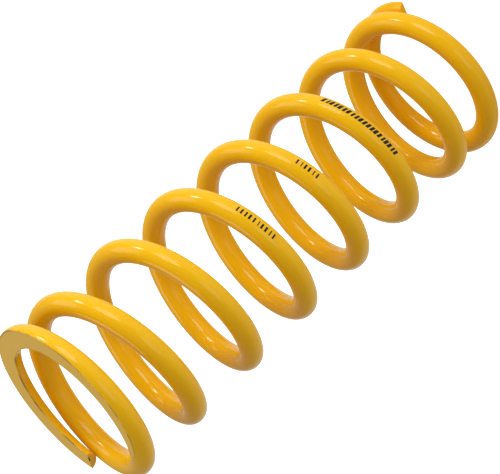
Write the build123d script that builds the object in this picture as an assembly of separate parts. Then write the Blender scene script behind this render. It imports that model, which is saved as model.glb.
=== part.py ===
"""Cylindrical compression spring for a shock absorber: one round steel wire, closed and ground ends.

The wire is cut across at nineteen places. Each cut is square to the wire, so the two round faces stay
on each other when the pieces beside them turn about the wire's own direction. That twist is how a coil
spring gives way under load.

Units are millimetres. The coil axis is Z, the lower ground face lies on Z = 0, and the lower wire tip
is on the +X side. The coil is wound right-handed, climbing anticlockwise seen from above. Turns are
counted from the +X direction at the lower end.
"""

import os

from build123d import *
from math import cos, pi, sin, sqrt

# ---------------------------------------------------------------- driving dimensions
wire_diameter = 10.6
mean_diameter = 74.0            # coil diameter at the middle of the wire, so 63.4 inside and 84.6 outside
lower_tip_turn = 0.03
upper_tip_turn = 8.48           # so the wire has 8.45 turns
active_pitch = 36.3             # rise per turn of the open coils

# Each end is wound nearly flat, then opens smoothly to the active pitch.
lower_end_pitch = 11.5
lower_flat_turns = 0.50         # from turn 0
lower_opening_turns = 1.35
lower_tip_thickness = 3.245     # what grinding leaves of the wire at its tip

upper_end_pitch = 8.40
upper_flat_turns = 0.63         # from the upper tip
upper_opening_turns = 0.64
upper_tip_thickness = 3.85

# The end coils are rigid pieces. Between them the wire is cut three times a turn.
lower_end_turns = 1.25
elements_per_turn = 3
active_turns = 6

# ---------------------------------------------------------------- derived
wire_radius = wire_diameter / 2
coil_radius = mean_diameter / 2
start_height = lower_tip_thickness - wire_radius - lower_end_pitch * lower_tip_turn


def eased(x):
    """0 below 0, 1 above 1, and a smooth step 3x^2 - 2x^3 between."""
    x = min(max(x, 0.0), 1.0)
    return x * x * (3 - 2 * x)


def eased_area(x):
    """The area under eased() from 0 to x."""
    inside = min(max(x, 0.0), 1.0)
    return inside**3 - inside**4 / 2 + max(x - 1, 0.0)


def pitch_at(turn):
    """Rise per turn of the wire's centre at a turn."""
    from_top = upper_tip_turn - turn
    opened_below = eased((turn - lower_flat_turns) / lower_opening_turns)
    opened_above = eased((from_top - upper_flat_turns) / upper_opening_turns)
    below = (lower_end_pitch - active_pitch) * (1 - opened_below)
    above = (upper_end_pitch - active_pitch) * (1 - opened_above)
    return active_pitch + below + above


def height_at(turn):
    """Height of the wire's centre: the pitch added up from turn 0."""
    from_top = upper_tip_turn - turn
    flat_below = turn - lower_opening_turns * eased_area((turn - lower_flat_turns) / lower_opening_turns)
    area_full = eased_area((upper_tip_turn - upper_flat_turns) / upper_opening_turns)
    area_here = eased_area((from_top - upper_flat_turns) / upper_opening_turns)
    flat_above = turn - upper_opening_turns * (area_full - area_here)
    rise = active_pitch * turn
    rise += (lower_end_pitch - active_pitch) * flat_below
    rise += (upper_end_pitch - active_pitch) * flat_above
    return start_height + rise


def wire_point(turn):
    angle = 2 * pi * turn
    return Vector(coil_radius * cos(angle), coil_radius * sin(angle), height_at(turn))


def wire_direction(turn):
    angle = 2 * pi * turn
    around = 2 * pi * coil_radius
    return Vector(-around * sin(angle), around * cos(angle), pitch_at(turn)).normalized()


def arc_meeting_point(start, start_direction, end, end_direction):
    """Where two arcs meet that leave start and reach end along the given directions.

    Both arcs have tangent lengths d, and d makes the line between the two corner points 2d long.
    """
    span = end - start
    both = start_direction + end_direction
    a = 2 * (1 - start_direction.dot(end_direction))
    b = 2 * span.dot(both)
    c = -span.dot(span)
    d = (-b + sqrt(b * b - 4 * a * c)) / (2 * a)
    first_corner = start + start_direction * d
    second_corner = end - end_direction * d
    return (first_corner + second_corner) * 0.5


def wire_path(first_turn, last_turn, steps):
    """A chain of tangent circular arcs along the wire's centre, two for each step."""
    arcs = []
    for i in range(steps):
        a = first_turn + (last_turn - first_turn) * i / steps
        b = first_turn + (last_turn - first_turn) * (i + 1) / steps
        middle = arc_meeting_point(wire_point(a), wire_direction(a), wire_point(b), wire_direction(b))
        first = Edge.make_tangent_arc(wire_point(a), wire_direction(a), middle)
        second = Edge.make_tangent_arc(middle, first % 1, wire_point(b))
        arcs += [first, second]
    return Wire(arcs)


def wire_piece(first_turn, last_turn, steps):
    """Round wire between two square cuts."""
    section = Plane(origin=wire_point(first_turn), z_dir=wire_direction(first_turn)) * Circle(wire_radius)
    return sweep(section, path=wire_path(first_turn, last_turn, steps))


free_length = height_at(upper_tip_turn) + upper_tip_thickness - wire_radius
upper_end_start = lower_end_turns + active_turns
slab = 4 * mean_diameter

# ---------------------------------------------------------------- pieces
pieces = {}

# Lower end coil: the wire tip, the closed turn and the start of the opening, ground flat at Z = 0.
lower_end = wire_piece(lower_tip_turn, lower_end_turns, 10)
kept_above = Pos(0, 0, slab / 2) * Box(slab, slab, slab)
pieces["lower_end_coil"] = lower_end & kept_above

# Active coils: three elements of 120 degrees a turn.
for coil in range(active_turns):
    for arc in range(elements_per_turn):
        start = lower_end_turns + coil + arc / elements_per_turn
        name = f"coil_{coil + 1}_arc_{arc + 1}"
        pieces[name] = wire_piece(start, start + 1 / elements_per_turn, 2)

# Upper end coil: the end of the opening, the closed turn and the tip, ground flat at the free length.
upper_end = wire_piece(upper_end_start, upper_tip_turn, 10)
kept_below = Pos(0, 0, free_length - slab / 2) * Box(slab, slab, slab)
pieces["upper_end_coil"] = upper_end & kept_below

# ---------------------------------------------------------------- output
os.makedirs("parts", exist_ok=True)
for name, piece in pieces.items():
    solid = piece.solids()[0]
    solid.label = name
    export_step(solid, f"parts/{name}.step")
    print(name, "solids", len(piece.solids()), "volume", round(solid.volume, 1))

print("free length", round(free_length, 3))
print("inside diameter", mean_diameter - wire_diameter, "outside diameter", mean_diameter + wire_diameter)
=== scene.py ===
# %% [markdown]
# # A powder-coated coil spring
#
# This scene dresses the imported model of a compression spring for a shock absorber. The spring is one
# round steel wire wound into a right-handed coil. Both ends are wound nearly flat and ground level, so
# that the spring stands square on its seats. A thick glossy yellow powder coat covers everything.
#
# The imported model divides the wire into rigid elements, joined by hinges that turn about the wire's own
# direction, because twist is how the wire of a coil spring gives way. We dress it with a skin in pieces:
# one over each hinge, from the middle of one element to the middle of the next, and one at each end,
# which rides on its end coil.

import math

import bpy
import numpy as np
from mathutils import Matrix, Vector


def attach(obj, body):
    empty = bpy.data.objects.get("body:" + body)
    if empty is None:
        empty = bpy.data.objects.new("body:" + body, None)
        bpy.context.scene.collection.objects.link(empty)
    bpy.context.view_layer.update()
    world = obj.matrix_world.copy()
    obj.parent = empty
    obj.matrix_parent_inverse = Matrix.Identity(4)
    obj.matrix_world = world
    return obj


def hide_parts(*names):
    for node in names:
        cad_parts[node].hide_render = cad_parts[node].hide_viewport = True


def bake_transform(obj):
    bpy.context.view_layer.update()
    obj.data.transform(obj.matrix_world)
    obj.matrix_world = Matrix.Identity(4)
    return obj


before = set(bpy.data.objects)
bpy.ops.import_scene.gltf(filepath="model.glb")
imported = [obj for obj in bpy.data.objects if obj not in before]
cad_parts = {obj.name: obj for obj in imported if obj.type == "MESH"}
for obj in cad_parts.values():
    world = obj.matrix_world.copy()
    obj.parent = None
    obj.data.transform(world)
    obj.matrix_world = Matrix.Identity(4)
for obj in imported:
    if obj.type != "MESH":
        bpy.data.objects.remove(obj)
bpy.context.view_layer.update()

# %% [markdown]
# ## The line of the wire
#
# Everything on a coil spring follows one line: the centre of the wire. It keeps a fixed distance from
# the coil's axis while it climbs, and only the climb changes: slow at both ends, where the coils are
# closed, and steady between. We count along it in turns from the +X direction at the lower end, and
# work in metres.

# %% Sizes of the coil
wire_radius = 0.0053
coil_radius = 0.0370
lower_tip_turn = 0.03
upper_tip_turn = 8.48
active_pitch = 0.0363

# Each end: pitch when flat, turns that stay flat, turns to open up, wire left at the ground tip.
lower_end = {"pitch": 0.0115, "flat": 0.50, "opening": 1.35, "tip": 0.003245}
upper_end = {"pitch": 0.0084, "flat": 0.63, "opening": 0.64, "tip": 0.00385}
start_height = lower_end["tip"] - wire_radius - lower_end["pitch"] * lower_tip_turn

# The wire is cut at these turns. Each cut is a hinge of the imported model.
cut_turns = 1.25 + np.arange(19) / 3


# %% The climb of the wire
def eased(x):
    """A smooth step from 0 to 1: three x squared minus two x cubed, held at 0 and 1 outside."""
    x = np.clip(x, 0, 1)
    return x * x * (3 - 2 * x)


def eased_area(x):
    """The area under the smooth step from 0 to x."""
    inside = np.clip(x, 0, 1)
    return inside**3 - inside**4 / 2 + np.maximum(x - 1, 0)


def pitch_at(turn):
    """Climb per turn: the active pitch, eased down to each end's own pitch near that end."""
    from_top = upper_tip_turn - turn
    low = 1 - eased((turn - lower_end["flat"]) / lower_end["opening"])
    high = 1 - eased((from_top - upper_end["flat"]) / upper_end["opening"])
    return (
        active_pitch
        + (lower_end["pitch"] - active_pitch) * low
        + (upper_end["pitch"] - active_pitch) * high
    )


def height_at(turn):
    """Height of the wire's centre: the pitch added up from turn 0, in closed form."""
    from_top = upper_tip_turn - turn
    low = turn - lower_end["opening"] * eased_area(
        (turn - lower_end["flat"]) / lower_end["opening"]
    )
    whole = eased_area((upper_tip_turn - upper_end["flat"]) / upper_end["opening"])
    here = eased_area((from_top - upper_end["flat"]) / upper_end["opening"])
    high = turn - upper_end["opening"] * (whole - here)
    return (
        start_height
        + active_pitch * turn
        + (lower_end["pitch"] - active_pitch) * low
        + (upper_end["pitch"] - active_pitch) * high
    )


free_length = float(height_at(upper_tip_turn)) + upper_end["tip"] - wire_radius

# %% [markdown]
# ## A frame that travels along the wire
#
# To carry a profile along the wire we need, at every turn, the centre and three directions: along the
# wire, straight out from the coil's axis, and the third that completes them, which points nearly up.
# On a helix these come straight from the sine and cosine of the turn, so there is no twist to correct.


# %% Centre and directions at any turn
def wire_frame(turn):
    """Centre = (R cos a, R sin a, height), with R the coil's radius and a the turn as an angle.

    Along is the direction in which the centre moves, out = (cos a, sin a, 0), and up = out x along.
    """
    a = 2 * np.pi * turn
    centre = np.stack([coil_radius * np.cos(a), coil_radius * np.sin(a), height_at(turn)], -1)
    once_round = 2 * np.pi * coil_radius
    along = np.stack([-once_round * np.sin(a), once_round * np.cos(a), pitch_at(turn)], -1)
    along /= np.linalg.norm(along, axis=-1, keepdims=True)
    out = np.stack([np.cos(a), np.sin(a), np.zeros_like(a)], -1)
    return centre, along, out, np.cross(out, along)


# Distance along the wire, for patterns that follow it: the length of wire per turn, added up.
turn_table = np.linspace(lower_tip_turn, upper_tip_turn, 4001)
per_turn = np.hypot(2 * np.pi * coil_radius, pitch_at(turn_table))
length_table = np.concatenate(
    [[0], np.cumsum((per_turn[1:] + per_turn[:-1]) / 2 * np.diff(turn_table))]
)
print("length of the wire", round(float(length_table[-1]), 4), "m")

# %% [markdown]
# ## The profile of the wire, round or ground
#
# Along most of the wire the profile is a circle. At both ends a grinding wheel has cut it off at one
# level, which leaves a flat with a lightly broken edge. We want one grid for all of these, so the same
# points always go to the same features: some on the round part, some on the broken edge and some on
# the flat. Where the wheel doesn't reach, those last points simply lie on the top of the circle.

# %% Counts and sizes of the profile
round_steps = 36
edge_steps = 5
flat_steps = 9
half_steps = round_steps + edge_steps + flat_steps
edge_radius = 0.00040

# A flat has a broken edge of its own only if it starts less than 80 degrees up the circle. Otherwise the
# edge's points take the next 4 degrees of the circle and the flat's points the last 6.
narrow = math.radians(80)
edge_span = math.radians(4)
flat_span = math.radians(6)


# %% Half of the profile, from the bottom up its outer side to the middle of the top
def half_profile(cut):
    """Points (x, y) of half a circle of the wire's radius, cut off at height y = cut.

    The corner between flat and circle is an arc of the edge radius e: its centre is e below the flat
    and at distance r - e from the wire's centre. Returns x, y, and how far a point is on edge or flat.
    """
    cut = np.minimum(np.asarray(cut, float), 2 * wire_radius)[:, None]
    level = cut - edge_radius
    inner = wire_radius - edge_radius
    centre_x = np.sqrt(np.maximum(inner**2 - level**2, 0))
    touches = np.where(level < inner, np.arctan2(level, centre_x), np.pi / 2)
    wide = touches < narrow
    last = np.where(wide, touches, narrow)

    # The round part, evenly spaced in angle from straight down.
    share = np.linspace(0, 1, round_steps + 1)[None]
    angle = -np.pi / 2 + (last + np.pi / 2) * share
    x_round = wire_radius * np.cos(angle)
    y_round = np.minimum(wire_radius * np.sin(angle), cut)

    # The broken edge, and the top of the circle where there is no flat wide enough to have one.
    share = np.linspace(0, 1, edge_steps + 1)[None, 1:]
    turn = last + (np.pi / 2 - last) * share
    x_edge = centre_x + edge_radius * np.cos(turn)
    y_edge = level + edge_radius * np.sin(turn)
    top = narrow + edge_span * share
    x_edge = np.where(wide, x_edge, wire_radius * np.cos(top))
    y_edge = np.where(wide, y_edge, np.minimum(wire_radius * np.sin(top), cut))

    # The flat, evenly spaced to the middle.
    share = np.linspace(0, 1, flat_steps + 1)[None, 1:]
    top = narrow + edge_span + flat_span * share
    x_flat = np.where(wide, centre_x * (1 - share), wire_radius * np.cos(top))
    y_flat = np.where(wide, cut, np.minimum(wire_radius * np.sin(top), cut))

    x = np.concatenate([x_round, x_edge, x_flat], 1)
    y = np.concatenate([y_round, y_edge, y_flat], 1)
    on_edge = np.concatenate([0 * x_round, wide + 0 * x_edge, 0 * x_flat], 1)
    on_edge[:, round_steps] = wide[:, 0]
    on_flat = np.concatenate([0 * x_round, 0 * x_edge, wide + 0 * x_flat], 1)
    on_flat[:, round_steps + edge_steps] = wide[:, 0]
    return x, y, on_edge, on_flat


# %% The whole profile, closed
def profile(cut, ground_below):
    """The half profile and its mirror image, joined; turned upside down for the lower end.

    The points run once round the wire, starting at its underside and going out first.
    """
    x, y, on_edge, on_flat = half_profile(cut)
    x = np.concatenate([x, -x[:, -2:0:-1]], 1)
    y, on_edge, on_flat = (
        np.concatenate([v, v[:, -2:0:-1]], 1) for v in (y, on_edge, on_flat)
    )
    if ground_below:
        # Mirrored top to bottom, and listed the other way so that it still runs the same way round.
        order = (half_steps - np.arange(2 * half_steps)) % (2 * half_steps)
        x, y, on_edge, on_flat = (v[:, order] for v in (x, -y, on_edge, on_flat))
    return x, y, on_edge, on_flat


sample_x = profile([0.002], ground_below=False)[0][0]
print("points round the wire", len(sample_x))
print("half the width of a flat 2 mm above the centre", round(sample_x[round_steps + edge_steps], 5))

# %% [markdown]
# ## From profile to skin
#
# A skin is the profile carried along the wire from one turn to another. Each vertex is the centre, plus
# x times the outward direction, plus y times the upward one, all computed as one array. We also keep two
# things that the finish needs: where each vertex is along and around the wire, as a UV map in metres, and
# whether it lies on a ground flat or on its broken edge, as attributes.


# %% The grid of a stretch of wire
def wire_grid(turns, ground):
    """Position = centre + x out + y up, with x and y the profile's.

    The profile is cut off at the ground face's height above the centre, over the up direction's own rise.
    """
    centre, _, out, up = wire_frame(turns)
    if ground == "lower":
        cut = centre[:, 2] / up[:, 2]
    elif ground == "upper":
        cut = (free_length - centre[:, 2]) / up[:, 2]
    else:
        cut = np.full(len(turns), 2 * wire_radius)
    x, y, on_edge, on_flat = profile(cut, ground == "lower")
    spots = centre[:, None] + x[..., None] * out[:, None] + y[..., None] * up[:, None]
    return {"spots": spots, "x": x, "y": y, "on_edge": on_edge, "on_flat": on_flat}


def grid_normals(spots):
    """The cross product of the step along and the step around, both taken across the two neighbours."""
    around = np.roll(spots, -1, 1) - np.roll(spots, 1, 1)
    normals = np.cross(np.gradient(spots, axis=0), around)
    return normals / np.linalg.norm(normals, axis=-1, keepdims=True)


# %% The rows of one skin
rows_per_turn = 240
tip_radius = 0.00045


def skin_grid(first, last, ground):
    """Even rows from the first turn to the last, stopping a tip radius short where the wire ends.

    One row more at each side, dropped again, gives the end rows the normals of the neighbouring skin's.
    """
    rows = int(round((last - first) * rows_per_turn))
    tip_turn = tip_radius / (2 * math.pi * coil_radius)
    first = first + (tip_turn if ground == "lower" else 0)
    last = last - (tip_turn if ground == "upper" else 0)
    turns = np.linspace(first, last, rows + 1)
    step = turns[1] - turns[0]
    grid = wire_grid(np.concatenate([[first - step], turns, [last + step]]), ground)
    grid["normals"] = grid_normals(grid["spots"])
    grid = {key: values[1:-1] for key, values in grid.items()}
    grid["turns"] = turns
    grid["places"] = np.interp(turns, turn_table, length_table)
    return grid


# %% Rounded tip
tip_rings = 5
face_starts = 1.2  # radians round the tip's edge, from where it counts as the end face


def add_tip(grid, ground):
    """Adds the rings that roll the coat over the wire's end, at angles b up to 90 degrees.

    With e the tip's radius, a ring shrinks the profile by e(1 - cos b) towards its middle and moves it
    e sin b along the wire, backwards at the lower end. Its normals are side cos b + along sin b.
    """
    upper = ground == "upper"
    row = -1 if upper else 0
    sign = 1 if upper else -1
    centre, along, out, up = (v[0] for v in wire_frame(grid["turns"][[row]]))
    x, y = grid["x"][row], grid["y"][row]

    b = np.linspace(0, np.pi / 2, tip_rings + 1)[1:, None]
    shrink = tip_radius * (1 - np.cos(b))
    past = tip_radius * np.sin(b)
    middle = (y.max() + y.min()) / 2
    half_height = (y.max() - y.min()) / 2
    ring_x = x * (1 - shrink / np.abs(x).max())
    ring_y = middle + (y - middle) * (1 - shrink / half_height)
    spots = centre + ring_x[..., None] * out + ring_y[..., None] * up
    side = grid["normals"][row]

    rings = {
        "spots": spots + sign * past[..., None] * along,
        "normals": side * np.cos(b)[..., None] + sign * np.sin(b)[..., None] * along,
        "x": np.repeat(x[None], tip_rings, 0),
        "y": np.repeat(y[None], tip_rings, 0),
        # The corner between the ground flat and the end face is an edge too, but the face isn't.
        "on_edge": np.maximum(grid["on_edge"][row], grid["on_flat"][row]) * (b < face_starts),
        "on_flat": np.zeros((tip_rings, len(x))),
        "places": grid["places"][row] + sign * past[:, 0],
    }
    for key, values in rings.items():
        both = [grid[key], values] if upper else [values[::-1], grid[key]]
        grid[key] = np.concatenate(both)


# %% The faces of a tube
def tube_mesh(name, spots):
    """A quad between every two neighbouring rows and columns, and a cap on each end row."""
    rows, columns = spots.shape[:2]
    index = np.arange(rows * columns).reshape(rows, columns)
    beside = np.roll(index, -1, 1)
    quads = np.stack([index[:-1], index[1:], beside[1:], beside[:-1]], -1).reshape(-1, 4)
    loops = np.concatenate([quads.ravel(), index[0], index[-1][::-1]])
    sizes = np.concatenate([np.full(len(quads), 4), [columns, columns]])
    starts = np.concatenate([[0], np.cumsum(sizes)[:-1]])

    mesh = bpy.data.meshes.new(name)
    mesh.vertices.add(rows * columns)
    mesh.vertices.foreach_set("co", spots.astype(np.float32).ravel())
    mesh.loops.add(len(loops))
    mesh.loops.foreach_set("vertex_index", loops.astype(np.int32))
    mesh.polygons.add(len(sizes))
    mesh.polygons.foreach_set("loop_start", starts.astype(np.int32))
    mesh.polygons.foreach_set("loop_total", sizes.astype(np.int32))
    mesh.update(calc_edges=True)
    mesh.polygons.foreach_set("use_smooth", np.ones(len(sizes), bool))
    return mesh


# %% The UV map, in metres
def lay_uv(mesh, grid):
    """u = place along the wire. v = angle around it times the wire's radius, 0 on its outermost line.

    The angle is taken about the middle of the profile's height, which is inside it even where it is
    ground thin.
    """
    x, y = grid["x"], grid["y"]
    middle = (y.max(axis=1) + y.min(axis=1))[:, None] / 2
    angle = np.unwrap(np.arctan2(y - middle, x), axis=1)
    angle = np.concatenate([angle, angle[:, :1] + 2 * np.pi], 1)
    u = np.repeat(grid["places"][:, None], angle.shape[1], 1)
    quad_u, quad_v = (
        np.stack([w[:-1, :-1], w[1:, :-1], w[1:, 1:], w[:-1, 1:]], -1).ravel()
        for w in (u, angle * wire_radius)
    )
    cap_u = np.concatenate([u[0, :-1], u[-1, :-1]])
    cap_v = np.full(len(cap_u), -math.pi * wire_radius)
    uv = np.stack([np.concatenate([quad_u, cap_u]), np.concatenate([quad_v, cap_v])], -1)
    mesh.uv_layers.new(name="wire").data.foreach_set("uv", uv.astype(np.float32).ravel())


# %% One skin
def build_skin(name, first, last, ground=None):
    """A closed tube: the grid from first to last turn, tip rings where the wire ends, and two caps."""
    grid = skin_grid(first, last, ground)
    if ground:
        add_tip(grid, ground)
    mesh = tube_mesh(name, grid["spots"])
    lay_uv(mesh, grid)
    for mask, key in (("ground_edge", "on_edge"), ("ground_flat", "on_flat")):
        layer = mesh.attributes.new(mask, "FLOAT", "POINT")
        layer.data.foreach_set("value", grid[key].astype(np.float32).ravel())
    normals = grid["normals"].reshape(-1, 3).astype(np.float32)
    mesh.normals_split_custom_set_from_vertices(normals)
    mesh.validate(clean_customdata=False)
    piece = bpy.data.objects.new(name, mesh)
    bpy.context.scene.collection.objects.link(piece)
    print(name, "faces", len(mesh.polygons), "turns", round(first, 3), "to", round(last, 3))
    return piece


# %% [markdown]
# ## One skin for each hinge
#
# A hinge of the imported model turns the next element about the wire by up to 12 degrees, all at once. Real
# wire twists evenly. Each skin here is centred on a hinge and runs from the middle of one element to the
# middle of the next. These skins are built in place and are not tied to either element.

# %% The names of the elements in order
elements = ["lower_end_coil"]
elements += [f"coil_{c}_arc_{a}" for c in range(1, 7) for a in (1, 2, 3)]
elements += ["upper_end_coil"]

# %% End skins, which ride on the end coils
half = 1 / 6  # half an element, in turns
skins = []

lower_skin = build_skin("lower_end_wire", lower_tip_turn, cut_turns[0] - half, ground="lower")
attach(lower_skin, "lower_end_coil")
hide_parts("lower_end_coil")
skins.append(lower_skin)

upper_skin = build_skin("upper_end_wire", cut_turns[-1] + half, upper_tip_turn, ground="upper")
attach(upper_skin, "upper_end_coil")
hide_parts("upper_end_coil")
skins.append(upper_skin)

# %% Skins across the hinges
for k, cut_turn in enumerate(cut_turns):
    skin = build_skin(f"wire_{k + 1:02d}", cut_turn - half, cut_turn + half)
    ends = wire_frame(np.array([cut_turn - half, cut_turn + half]))[0]
    chord = ends[1] - ends[0]
    chord /= np.linalg.norm(chord)
    # The points a wire's radius inside each end, where a blend across the hinge would start and stop.
    # Nothing uses them.
    start = ends[0] + chord * wire_radius
    stop = ends[1] - chord * wire_radius
    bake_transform(skin)
    if k + 1 < len(elements) - 1:
        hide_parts(elements[k + 1])
    skins.append(skin)

print("skins", len(skins))

# %% [markdown]
# ## The finish
#
# Powder coat is plastic baked on as dry powder. It is thicker than paint, glossy, and very slightly
# uneven, like orange peel. The inner side of each coil is painted a deeper yellow as painted shade, and a
# slow noise changes the tone at random. On the edge of a ground face the melt pulls back and the steel
# shows through in places, and one corner is chipped. The ground faces are painted paler, as a painted
# reflection of the pale surround, and keep a little of the grinding wheel's texture under the coat. The
# outside of three coils is printed in black; here the print is rows of plain dashes.
#
# Each effect is a node group that gives a mask, and the material mixes its colours by these masks.


# %% Helpers for node groups
def new_group(name, inputs):
    """A shader node group with number inputs and one output called Mask."""
    group = bpy.data.node_groups.new(name, "ShaderNodeTree")
    for label, default in inputs.items():
        socket = group.interface.new_socket(label, in_out="INPUT", socket_type="NodeSocketFloat")
        socket.default_value = default
    group.interface.new_socket("Mask", in_out="OUTPUT", socket_type="NodeSocketFloat")
    return group, group.nodes.new("NodeGroupInput"), group.nodes.new("NodeGroupOutput")


def math_node(tree, operation, *values, clamp=False):
    """A Math node fed with sockets or numbers."""
    node = tree.nodes.new("ShaderNodeMath")
    node.operation = operation
    node.use_clamp = clamp
    for slot, value in zip(node.inputs, values):
        if isinstance(value, (int, float)):
            slot.default_value = value
        else:
            tree.links.new(value, slot)
    return node.outputs[0]


def noise_node(tree, scale, detail):
    """Noise on Object coordinates, so it stays on the wire."""
    place = tree.nodes.new("ShaderNodeTexCoord")
    noise = tree.nodes.new("ShaderNodeTexNoise")
    noise.inputs["Detail"].default_value = detail
    if isinstance(scale, (int, float)):
        noise.inputs["Scale"].default_value = scale
    else:
        tree.links.new(scale, noise.inputs["Scale"])
    tree.links.new(place.outputs["Object"], noise.inputs["Vector"])
    return noise.outputs["Fac"]


# %% Group: a row of printed dashes
def make_dashes():
    """Mask = inside the row's length, times inside its height, times inside a dash.

    The place in the row, leaned by a slant, is divided by the pitch. Its whole part picks a dash width
    at random, and its fraction tells whether we are on the dash.
    """
    inputs = {"Along": 0.0, "Around": 0.0, "Start": 0.0, "Length": 0.02, "Height": 0.002}
    inputs |= {"Offset": 0.0, "Pitch": 0.002, "Width": 0.6, "Slant": 0.3}
    width_spread = 0.30
    group, into, out = new_group("Printed Dashes", inputs)
    s = into.outputs
    place = math_node(group, "SUBTRACT", s["Along"], s["Start"])
    across = math_node(group, "SUBTRACT", s["Around"], s["Offset"])
    leaned = math_node(group, "MULTIPLY_ADD", across, s["Slant"], place)
    after = math_node(group, "GREATER_THAN", leaned, 0.0)
    before = math_node(group, "LESS_THAN", leaned, s["Length"])
    half_height = math_node(group, "MULTIPLY", s["Height"], 0.5)
    off_middle = math_node(group, "ABSOLUTE", across)
    in_height = math_node(group, "LESS_THAN", off_middle, half_height)
    cell = math_node(group, "DIVIDE", leaned, s["Pitch"])
    random = group.nodes.new("ShaderNodeTexWhiteNoise")
    random.noise_dimensions = "1D"
    group.links.new(math_node(group, "FLOOR", cell), random.inputs["W"])
    width = math_node(group, "MULTIPLY_ADD", random.outputs["Value"], width_spread, s["Width"])
    on_dash = math_node(group, "LESS_THAN", math_node(group, "FRACT", cell), width)
    mask = math_node(group, "MULTIPLY", after, before)
    mask = math_node(group, "MULTIPLY", mask, in_height)
    mask = math_node(group, "MULTIPLY", mask, on_dash)
    group.links.new(mask, out.inputs["Mask"])
    return group


# %% Group: wear on an edge
def make_edge_wear():
    """Mask = the edge value, times noise lifted by the amount and pushed towards 0 or 1."""
    threshold, steepness = 0.75, 6.0
    group, into, out = new_group("Edge Wear", {"Edge": 0.0, "Amount": 0.5, "Scale": 300.0})
    s = into.outputs
    lifted = math_node(group, "ADD", noise_node(group, s["Scale"], 3.0), s["Amount"])
    above = math_node(group, "SUBTRACT", lifted, threshold)
    sharp = math_node(group, "MULTIPLY", above, steepness, clamp=True)
    mask = math_node(group, "MULTIPLY", sharp, s["Edge"])
    group.links.new(mask, out.inputs["Mask"])
    return group


# %% Group: painted shade on the inner side of the coils, with random tone
def make_inner_shade_and_thin_coat():
    """Mask = inner x (half minus half the cosine of the angle around the wire) + uneven x a slow noise.

    The first part is how far a spot faces the coil's axis: painted shade on the coils' inner side.
    """
    inputs = {"Around": 0.0, "Inner": 0.7, "Uneven": 0.3, "Scale": 60.0}
    group, into, out = new_group("Inner Shade and Thin Coat", inputs)
    s = into.outputs
    angle = math_node(group, "DIVIDE", s["Around"], wire_radius)
    inner = math_node(group, "MULTIPLY_ADD", math_node(group, "COSINE", angle), -0.5, 0.5)
    inner = math_node(group, "MULTIPLY", inner, s["Inner"])
    uneven = noise_node(group, s["Scale"], 2.0)
    mask = math_node(group, "MULTIPLY_ADD", uneven, s["Uneven"], inner, clamp=True)
    group.links.new(mask, out.inputs["Mask"])
    return group


dashes = make_dashes()
edge_wear = make_edge_wear()
inner_shade_and_thin_coat = make_inner_shade_and_thin_coat()
print("groups", [g.name for g in (dashes, edge_wear, inner_shade_and_thin_coat)])

# %% [markdown]
# ## The coat as a material
#
# One Principled BSDF makes the coat. Its colour starts as two yellows, mixed by a mask that is partly
# painted shade on the inner side of each coil and partly a random change of tone. Then come the ground
# faces, painted paler as a painted reflection of the pale surround and duller in gloss, the worn edges,
# a chip, and the ink on top. Two noises feed a Bump node: the orange peel everywhere, and grinding lines
# on the ground faces.

# %% Colours
full_yellow = (0.93, 0.520, 0.003, 1)
# The second yellow is painted shade for the inner side of each coil, and random tone where the noise brings
# it.
inner_shade_and_tone_yellow = (0.90, 0.475, 0.002, 1)
# The ground-face yellow, paler and bluer, is a painted reflection of the pale surround on the flat faces.
ground_face_sheen_yellow = (0.88, 0.550, 0.085, 1)
bare_edge = (0.42, 0.27, 0.03, 1)
chipped = (0.05, 0.04, 0.012, 1)
black_ink = (0.010, 0.009, 0.008, 1)

# %% Printed rows: the sizes of their dashes in metres, and each row's first and last turn
bold = {"Height": 0.0028, "Offset": -0.0008, "Pitch": 0.0019, "Width": 0.50, "Slant": -0.35}
fine = {"Height": 0.0027, "Offset": -0.0005, "Pitch": 0.0019, "Width": 0.22, "Slant": 0.0}
printed_rows = [(bold, (2.813, 2.973)), (fine, (3.875, 3.921)), (fine, (4.851, 4.930))]


# %% Helpers for the material
def place_group(tree, group, **values):
    """Place a group, with sockets or numbers as its inputs, and give back its mask."""
    node = tree.nodes.new("ShaderNodeGroup")
    node.node_tree = group
    for label, value in values.items():
        if isinstance(value, (int, float)):
            node.inputs[label].default_value = value
        else:
            tree.links.new(value, node.inputs[label])
    return node.outputs["Mask"]


def mix_colours(tree, under, over, mask):
    """The under colour where the mask is 0, the over colour where it is 1."""
    node = tree.nodes.new("ShaderNodeMix")
    node.data_type = "RGBA"
    for socket, value in ((node.inputs["A"], under), (node.inputs["B"], over)):
        if isinstance(value, tuple):
            socket.default_value = value
        else:
            tree.links.new(value, socket)
    tree.links.new(mask, node.inputs["Factor"])
    return node.outputs["Result"]


def read_attribute(tree, name):
    """The value of a point attribute."""
    node = tree.nodes.new("ShaderNodeAttribute")
    node.attribute_name = name
    return node.outputs["Fac"]


# %% The coat
coat = bpy.data.materials.new("yellow_powder_coat")
coat.use_nodes = True
tree = coat.node_tree
shader = tree.nodes["Principled BSDF"]
shader.inputs["IOR"].default_value = 1.40
shader.inputs["Specular IOR Level"].default_value = 0.42

uv = tree.nodes.new("ShaderNodeUVMap")
uv.uv_map = "wire"
split = tree.nodes.new("ShaderNodeSeparateXYZ")
tree.links.new(uv.outputs["UV"], split.inputs["Vector"])
along, around = split.outputs["X"], split.outputs["Y"]
on_flat = read_attribute(tree, "ground_flat")
on_edge = read_attribute(tree, "ground_edge")

# Painted shade: a deeper yellow on the inner side of each coil, mixed with a random change of tone.
inner_shade_and_thin_mask = place_group(tree, inner_shade_and_thin_coat, Around=around, Inner=0.75, Uneven=0.35, Scale=70.0)
colour = mix_colours(tree, full_yellow, inner_shade_and_tone_yellow, inner_shade_and_thin_mask)
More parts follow.
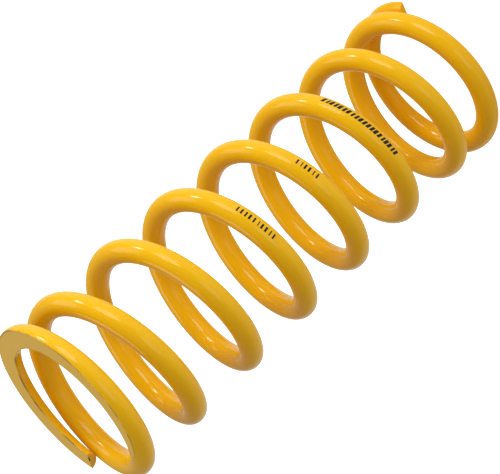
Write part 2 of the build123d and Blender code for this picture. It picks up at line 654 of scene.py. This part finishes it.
# Painted reflection: the ground flats get the paler yellow.
colour = mix_colours(tree, colour, ground_face_sheen_yellow, on_flat)
worn = place_group(tree, edge_wear, Edge=on_edge, Amount=0.34, Scale=110.0)
colour = mix_colours(tree, colour, bare_edge, worn)

# %% The chip, on the corner between the upper ground face and the wire's end, ragged with noise
chip_depth = 0.00038
chip_around = 0.0115
chip_reach = 0.0034
chip_ragged = 0.0020

at_end = math_node(tree, "GREATER_THAN", along, float(length_table[-1]) - chip_depth)
from_chip = math_node(tree, "ABSOLUTE", math_node(tree, "SUBTRACT", around, chip_around))
ragged = math_node(tree, "MULTIPLY_ADD", noise_node(tree, 900.0, 2.0), chip_ragged, from_chip)
inside = math_node(tree, "LESS_THAN", ragged, chip_reach)
colour = mix_colours(tree, colour, chipped, math_node(tree, "MULTIPLY", at_end, inside))

# %% The ink
ink = 0.0
for sizes, turns in printed_rows:
    start, stop = np.interp(turns, turn_table, length_table)
    row = {"Start": float(start), "Length": float(stop - start), **sizes}
    mask = place_group(tree, dashes, Along=along, Around=around, **row)
    ink = math_node(tree, "MAXIMUM", ink, mask)
colour = mix_colours(tree, colour, black_ink, ink)
tree.links.new(colour, shader.inputs["Base Color"])

# %% Gloss and relief
# Roughness: glossy, slightly uneven, and duller on the ground faces.
uneven = noise_node(tree, 90.0, 2.0)
gloss = math_node(tree, "MULTIPLY_ADD", uneven, 0.08, 0.12)
gloss = math_node(tree, "MULTIPLY_ADD", on_flat, 0.20, gloss)
tree.links.new(gloss, shader.inputs["Roughness"])

# Height: orange peel, plus lines across the ground faces, from a noise drawn out along one direction.
peel = noise_node(tree, 420.0, 1.0)
place = tree.nodes.new("ShaderNodeTexCoord")
stretch = tree.nodes.new("ShaderNodeMapping")
stretch.inputs["Scale"].default_value = (2600.0, 90.0, 90.0)
tree.links.new(place.outputs["Object"], stretch.inputs["Vector"])
lines = tree.nodes.new("ShaderNodeTexNoise")
lines.inputs["Scale"].default_value = 1.0
tree.links.new(stretch.outputs["Vector"], lines.inputs["Vector"])
on_lines = math_node(tree, "MULTIPLY", lines.outputs["Fac"], on_flat)
relief = math_node(tree, "MULTIPLY_ADD", on_lines, 0.35, peel)
bump = tree.nodes.new("ShaderNodeBump")
bump.inputs["Strength"].default_value = 0.045
bump.inputs["Distance"].default_value = 0.0003
tree.links.new(relief, bump.inputs["Height"])
tree.links.new(bump.outputs["Normal"], shader.inputs["Normal"])

for skin in skins:
    skin.data.materials.append(coat)
print("coated", len(skins))

# %% [markdown]
# ## The studio
#
# A pale floor, an even pale surround and soft lights, as for a catalogue. A broad low light from the
# side shapes the coils, and a small one gives each of them the same short streak. The floor looks
# brighter to the camera than it is as a lamp, which the Light Path node allows, so that it stays nearly
# white without washing out the underside of the wire. The camera has a long lens. It looks down at the
# upper end, and is rolled until the spring lies across the view.


# %% Floor
floor_mesh = bpy.data.meshes.new("studio_floor")
reach = 6.0
corners = [(-reach, -reach, 0), (reach, -reach, 0), (reach, reach, 0), (-reach, reach, 0)]
floor_mesh.from_pydata(corners, [], [(0, 1, 2, 3)])
floor = bpy.data.objects.new("studio_floor", floor_mesh)
bpy.context.scene.collection.objects.link(floor)
paper = bpy.data.materials.new("white_paper")
paper.use_nodes = True
paper_shader = paper.node_tree.nodes["Principled BSDF"]
paper_shader.inputs["Base Color"].default_value = (0.90, 0.90, 0.90, 1)
paper_shader.inputs["Roughness"].default_value = 0.9
paper_shader.inputs["Specular IOR Level"].default_value = 0.2
paper_shader.inputs["Emission Color"].default_value = (1, 1, 1, 1)
light_path = paper.node_tree.nodes.new("ShaderNodeLightPath")
glow = paper.node_tree.nodes.new("ShaderNodeMapRange")
glow.inputs["To Min"].default_value = 0.12
glow.inputs["To Max"].default_value = 0.90
paper.node_tree.links.new(light_path.outputs["Is Camera Ray"], glow.inputs["Value"])
paper.node_tree.links.new(glow.outputs["Result"], paper_shader.inputs["Emission Strength"])
floor_mesh.materials.append(paper)


# %% Lights
def soft_light(name, azimuth, elevation, distance, size, power, colour=(1, 1, 1)):
    """A round area light that looks at the middle of the spring.

    It stands at the middle + distance x (cos e cos a, cos e sin a, sin e), with a its azimuth and e its
    elevation.
    """
    lamp = bpy.data.lights.new(name, "AREA")
    lamp.shape = "DISK"
    lamp.size = size
    lamp.energy = power
    lamp.color = colour
    holder = bpy.data.objects.new(name, lamp)
    a, e = math.radians(azimuth), math.radians(elevation)
    way = Vector((math.cos(e) * math.cos(a), math.cos(e) * math.sin(a), math.sin(e)))
    holder.location = Vector((0, 0, free_length / 2)) + way * distance
    holder.rotation_euler = way.to_track_quat("Z", "Y").to_euler()
    bpy.context.scene.collection.objects.link(holder)


soft_light("streak_light", 36, 14.5, 1.3, 0.22, 3.2, (0.97, 1.0, 0.95))
soft_light("broad_side_light", 0, 10, 1.4, 0.8, 7.2, (0.96, 1.0, 0.92))
soft_light("low_front_light", -60, 10, 1.4, 0.8, 2.2, (0.97, 1.0, 0.95))
soft_light("upper_side_light", 60, 38, 1.4, 0.8, 2.8)
soft_light("top_light", 130, 68, 1.4, 0.8, 3.2)

world = bpy.data.worlds.new("pale_surround")
world.use_nodes = True
world.node_tree.nodes["Background"].inputs["Color"].default_value = (1.0, 0.92, 0.80, 1)
world.node_tree.nodes["Background"].inputs["Strength"].default_value = 0.33
bpy.context.scene.world = world

bpy.context.scene.view_settings.view_transform = "Standard"
bpy.context.scene.view_settings.look = "None"

# %% Camera
camera_data = bpy.data.cameras.new("camera")
camera_data.lens = 123.06
camera_data.sensor_width = 36.0
camera_data.clip_start = 0.01
camera = bpy.data.objects.new("camera", camera_data)
eye = Vector((0.47631, -0.49557, 0.47394))
aim = Vector((0.00123, 0.00118, 0.13176))
roll = Matrix.Rotation(math.radians(-132.51), 3, "Z")
level = (aim - eye).to_track_quat("-Z", "Y").to_matrix()
camera.matrix_world = Matrix.Translation(eye) @ (level @ roll).to_4x4()
bpy.context.scene.collection.objects.link(camera)
bpy.context.scene.camera = camera
